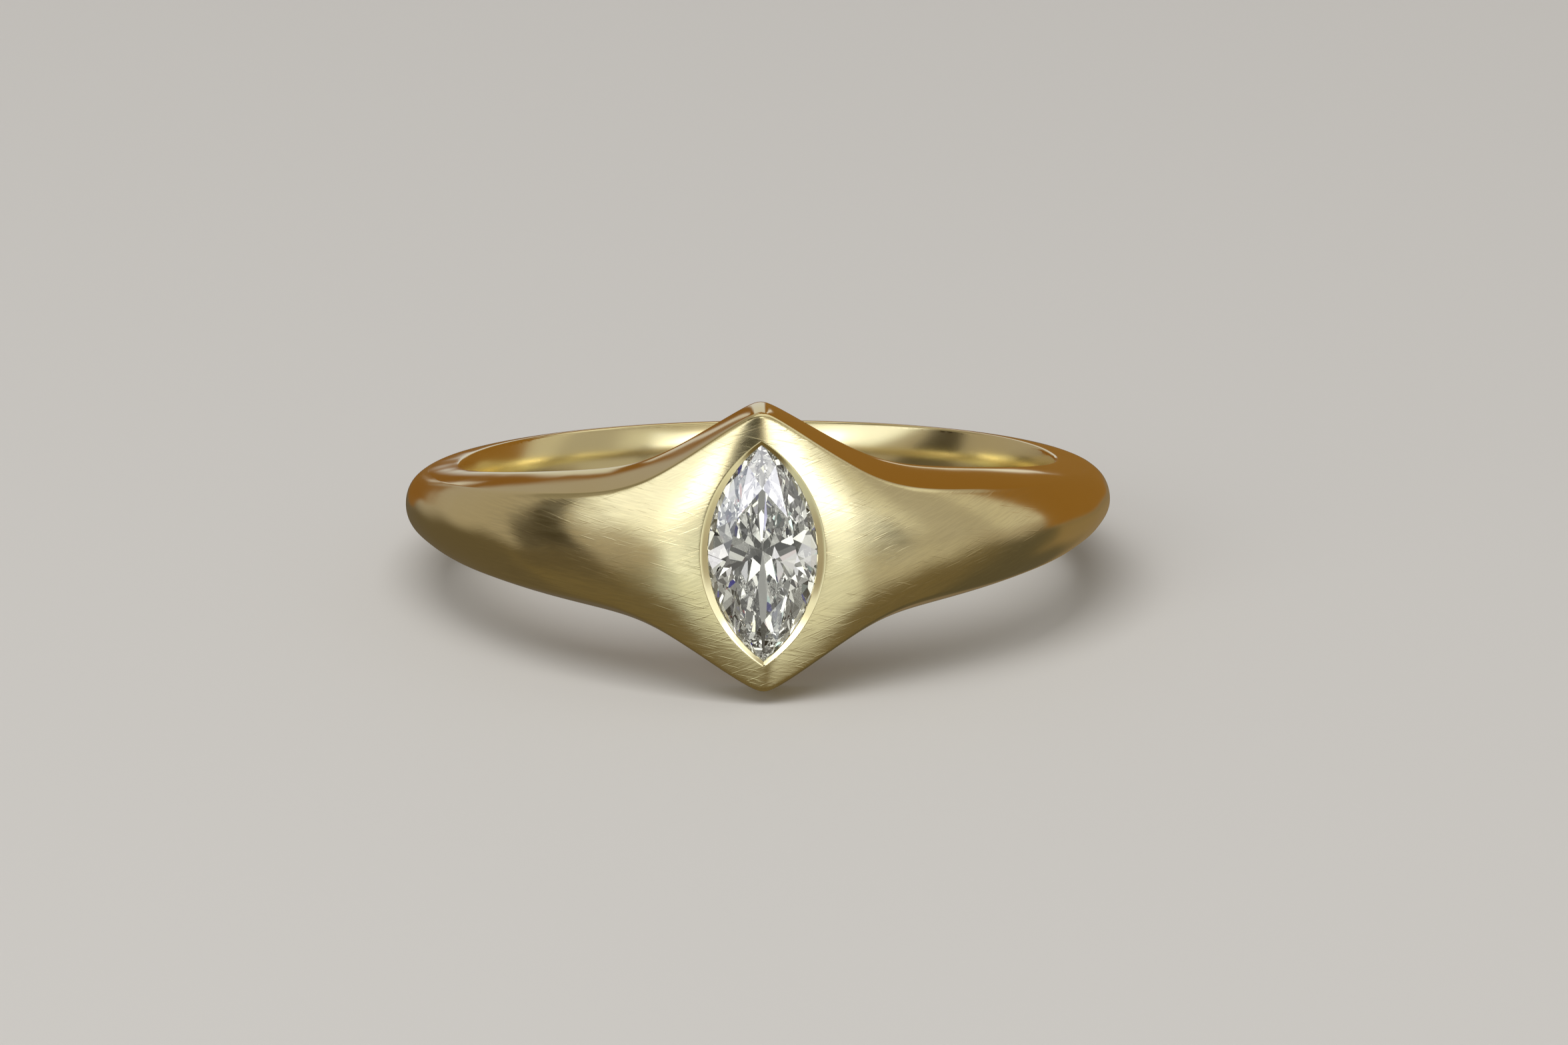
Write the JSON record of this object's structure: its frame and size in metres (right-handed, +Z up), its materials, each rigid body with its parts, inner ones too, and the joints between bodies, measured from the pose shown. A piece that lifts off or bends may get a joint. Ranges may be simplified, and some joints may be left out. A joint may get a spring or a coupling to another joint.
{
  "type": "gypsy ring",
  "caption": "Satin yellow-gold gypsy ring, its band widening to a pointed head with a marquise diamond set flush; lies on its side with the finger hole open.",
  "frame": {"origin": "on the ground, under the middle of the ring's box, as it lies on its side", "axes": "+Z up, -Y the way the head and the stone's table face, +X to the right seen from the front; the finger's axis leans 9.95 degrees from +Z towards +Y"},
  "size_m": [0.0198, 0.0204, 0.0079],
  "materials": {
    "satin_gold": "18-karat yellow gold, satin brushed outside, polished inside and along the edges",
    "diamond": "colourless brilliant-cut diamond, polished facets"
  },
  "bodies": {
    "root": {"ring_band": "satin_gold", "marquise_stone": "diamond"}
  },
  "joints": []
}
